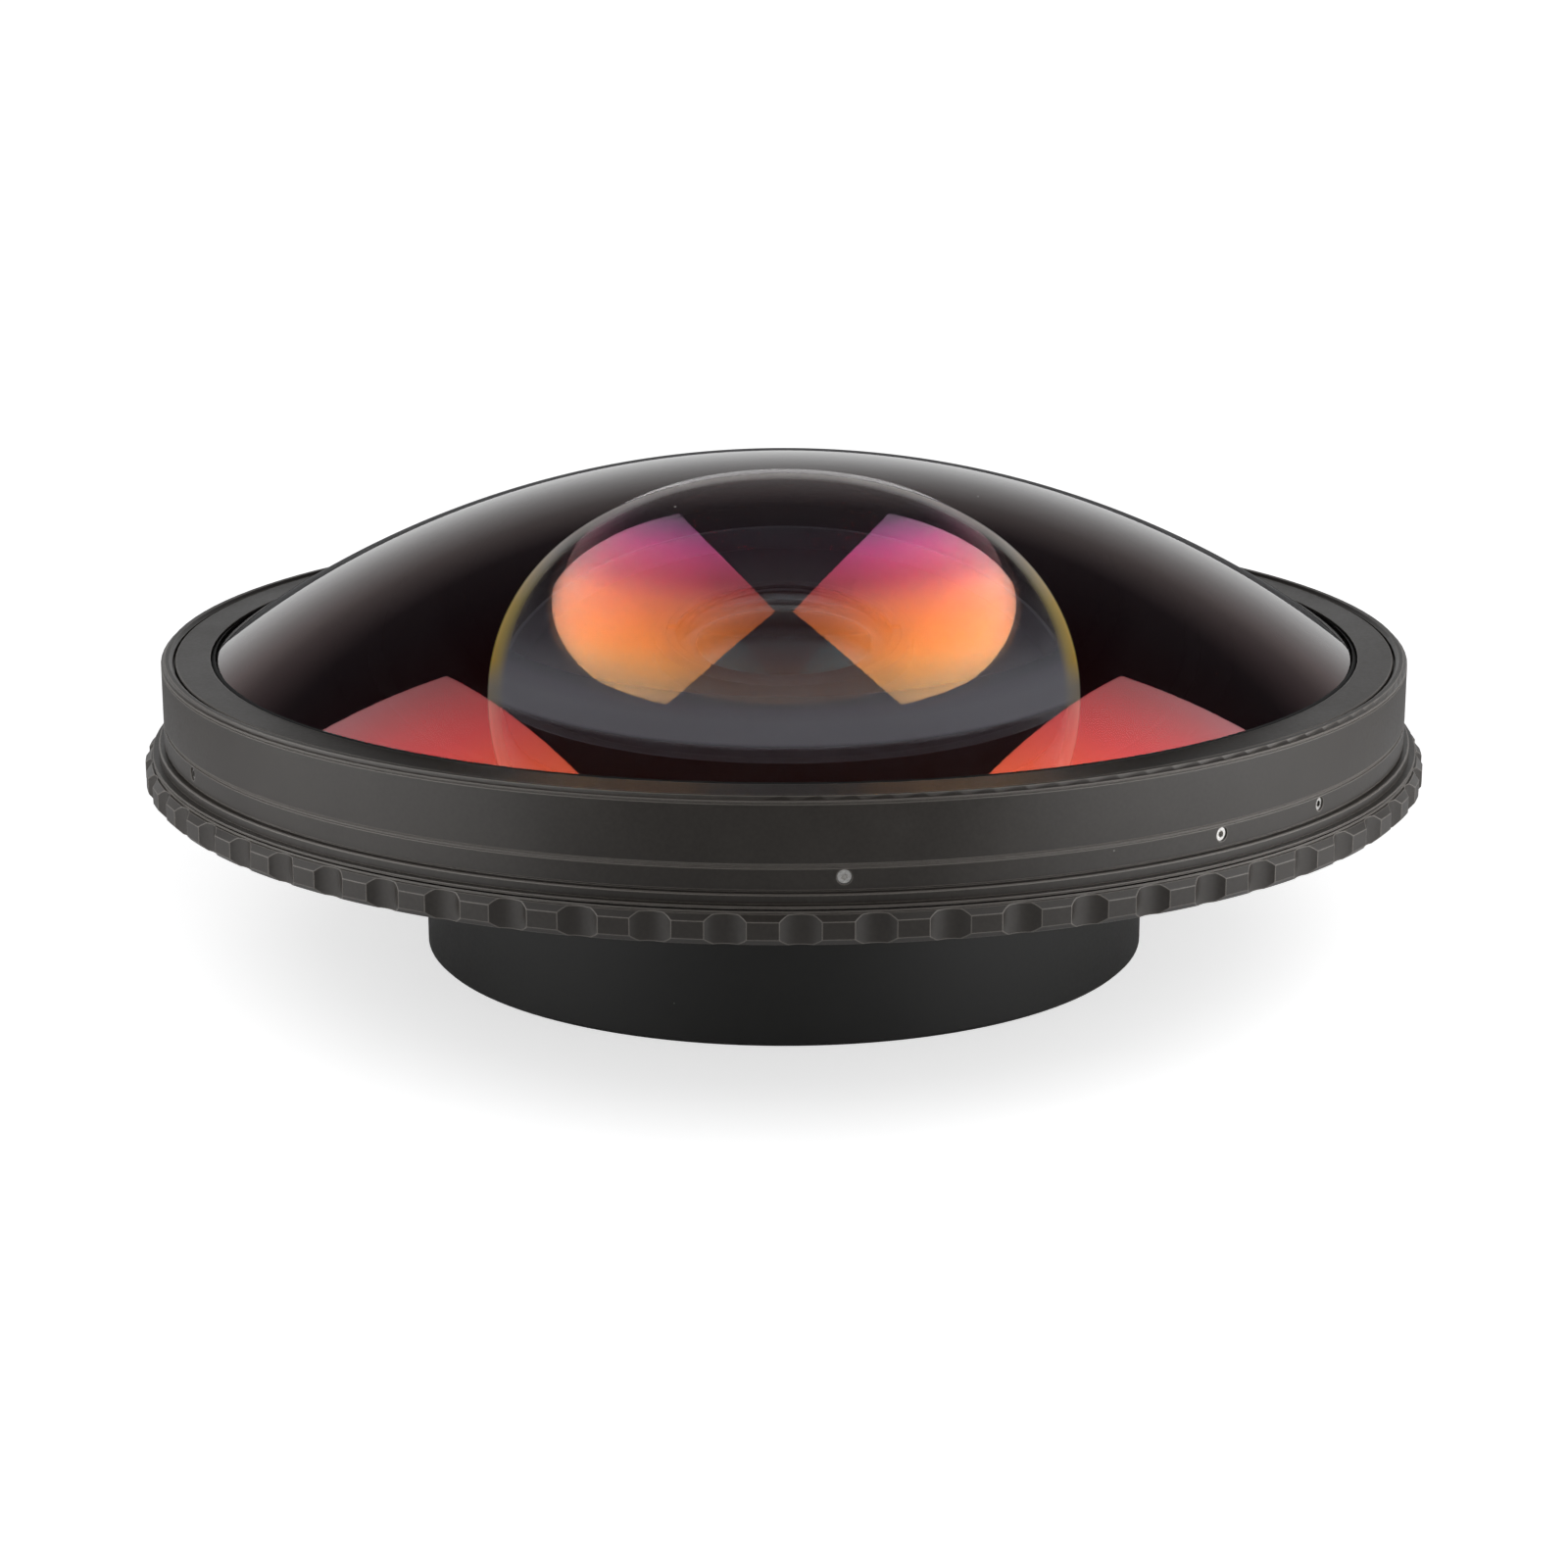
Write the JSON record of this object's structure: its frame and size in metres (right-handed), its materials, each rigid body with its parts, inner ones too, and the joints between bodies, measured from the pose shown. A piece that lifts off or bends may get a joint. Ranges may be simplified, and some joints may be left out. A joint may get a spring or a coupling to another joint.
{
  "type": "fisheye converter lens",
  "caption": "Large domed fisheye converter lens with a coated front meniscus, toothed lock ring, swivelling front housing and a short rear barrel with a female filter thread.",
  "frame": {"origin": "centre of the rear barrel's end face, which the lens stands on", "axes": "+Z along the optical axis towards the front glass, -Y the side seen in the picture"},
  "size_m": [0.138, 0.138, 0.0528],
  "materials": {
    "black_anodised": "satin anodised",
    "matte_black": "matte anodised",
    "cell_black": "dull black anodised",
    "coated_glass": "polished and coated",
    "screw_steel": "bright",
    "seal_rubber": "matte",
    "slip_plastic": "matte"
  },
  "bodies": {
    "mount": {"mount_thread_ring": "matte_black", "rear_barrel": "matte_black", "rear_housing": "matte_black", "barrel_screws": "screw_steel", "swivel_washer": "slip_plastic", "inner_cell": "cell_black", "field_stop": "cell_black", "second_element": "coated_glass", "second_element_retainer": "cell_black", "rear_crown_element": "coated_glass", "rear_flint_element": "coated_glass", "rear_element_retainer": "cell_black"},
    "front": {"front_element": "coated_glass", "glass_seat_ring": "slip_plastic", "main_housing": "black_anodised", "set_screws": "screw_steel", "front_shell": "black_anodised", "front_retaining_ring": "black_anodised", "front_seal": "seal_rubber", "stop_washer": "black_anodised"},
    "lock_ring": {"knurled_ring": "black_anodised"}
  },
  "joints": [
    {"name": "front_swivel", "type": "hinge", "parent": "mount", "child": "front", "pos_m": [0, 0, 0.0214], "axis": [0, 0, 1], "continuous": true},
    {"name": "lock_ring_turn", "type": "hinge", "parent": "front", "child": "lock_ring", "pos_m": [0, 0, 0.0222], "axis": [0, 0, -1], "range_deg": [0, 90]}
  ]
}
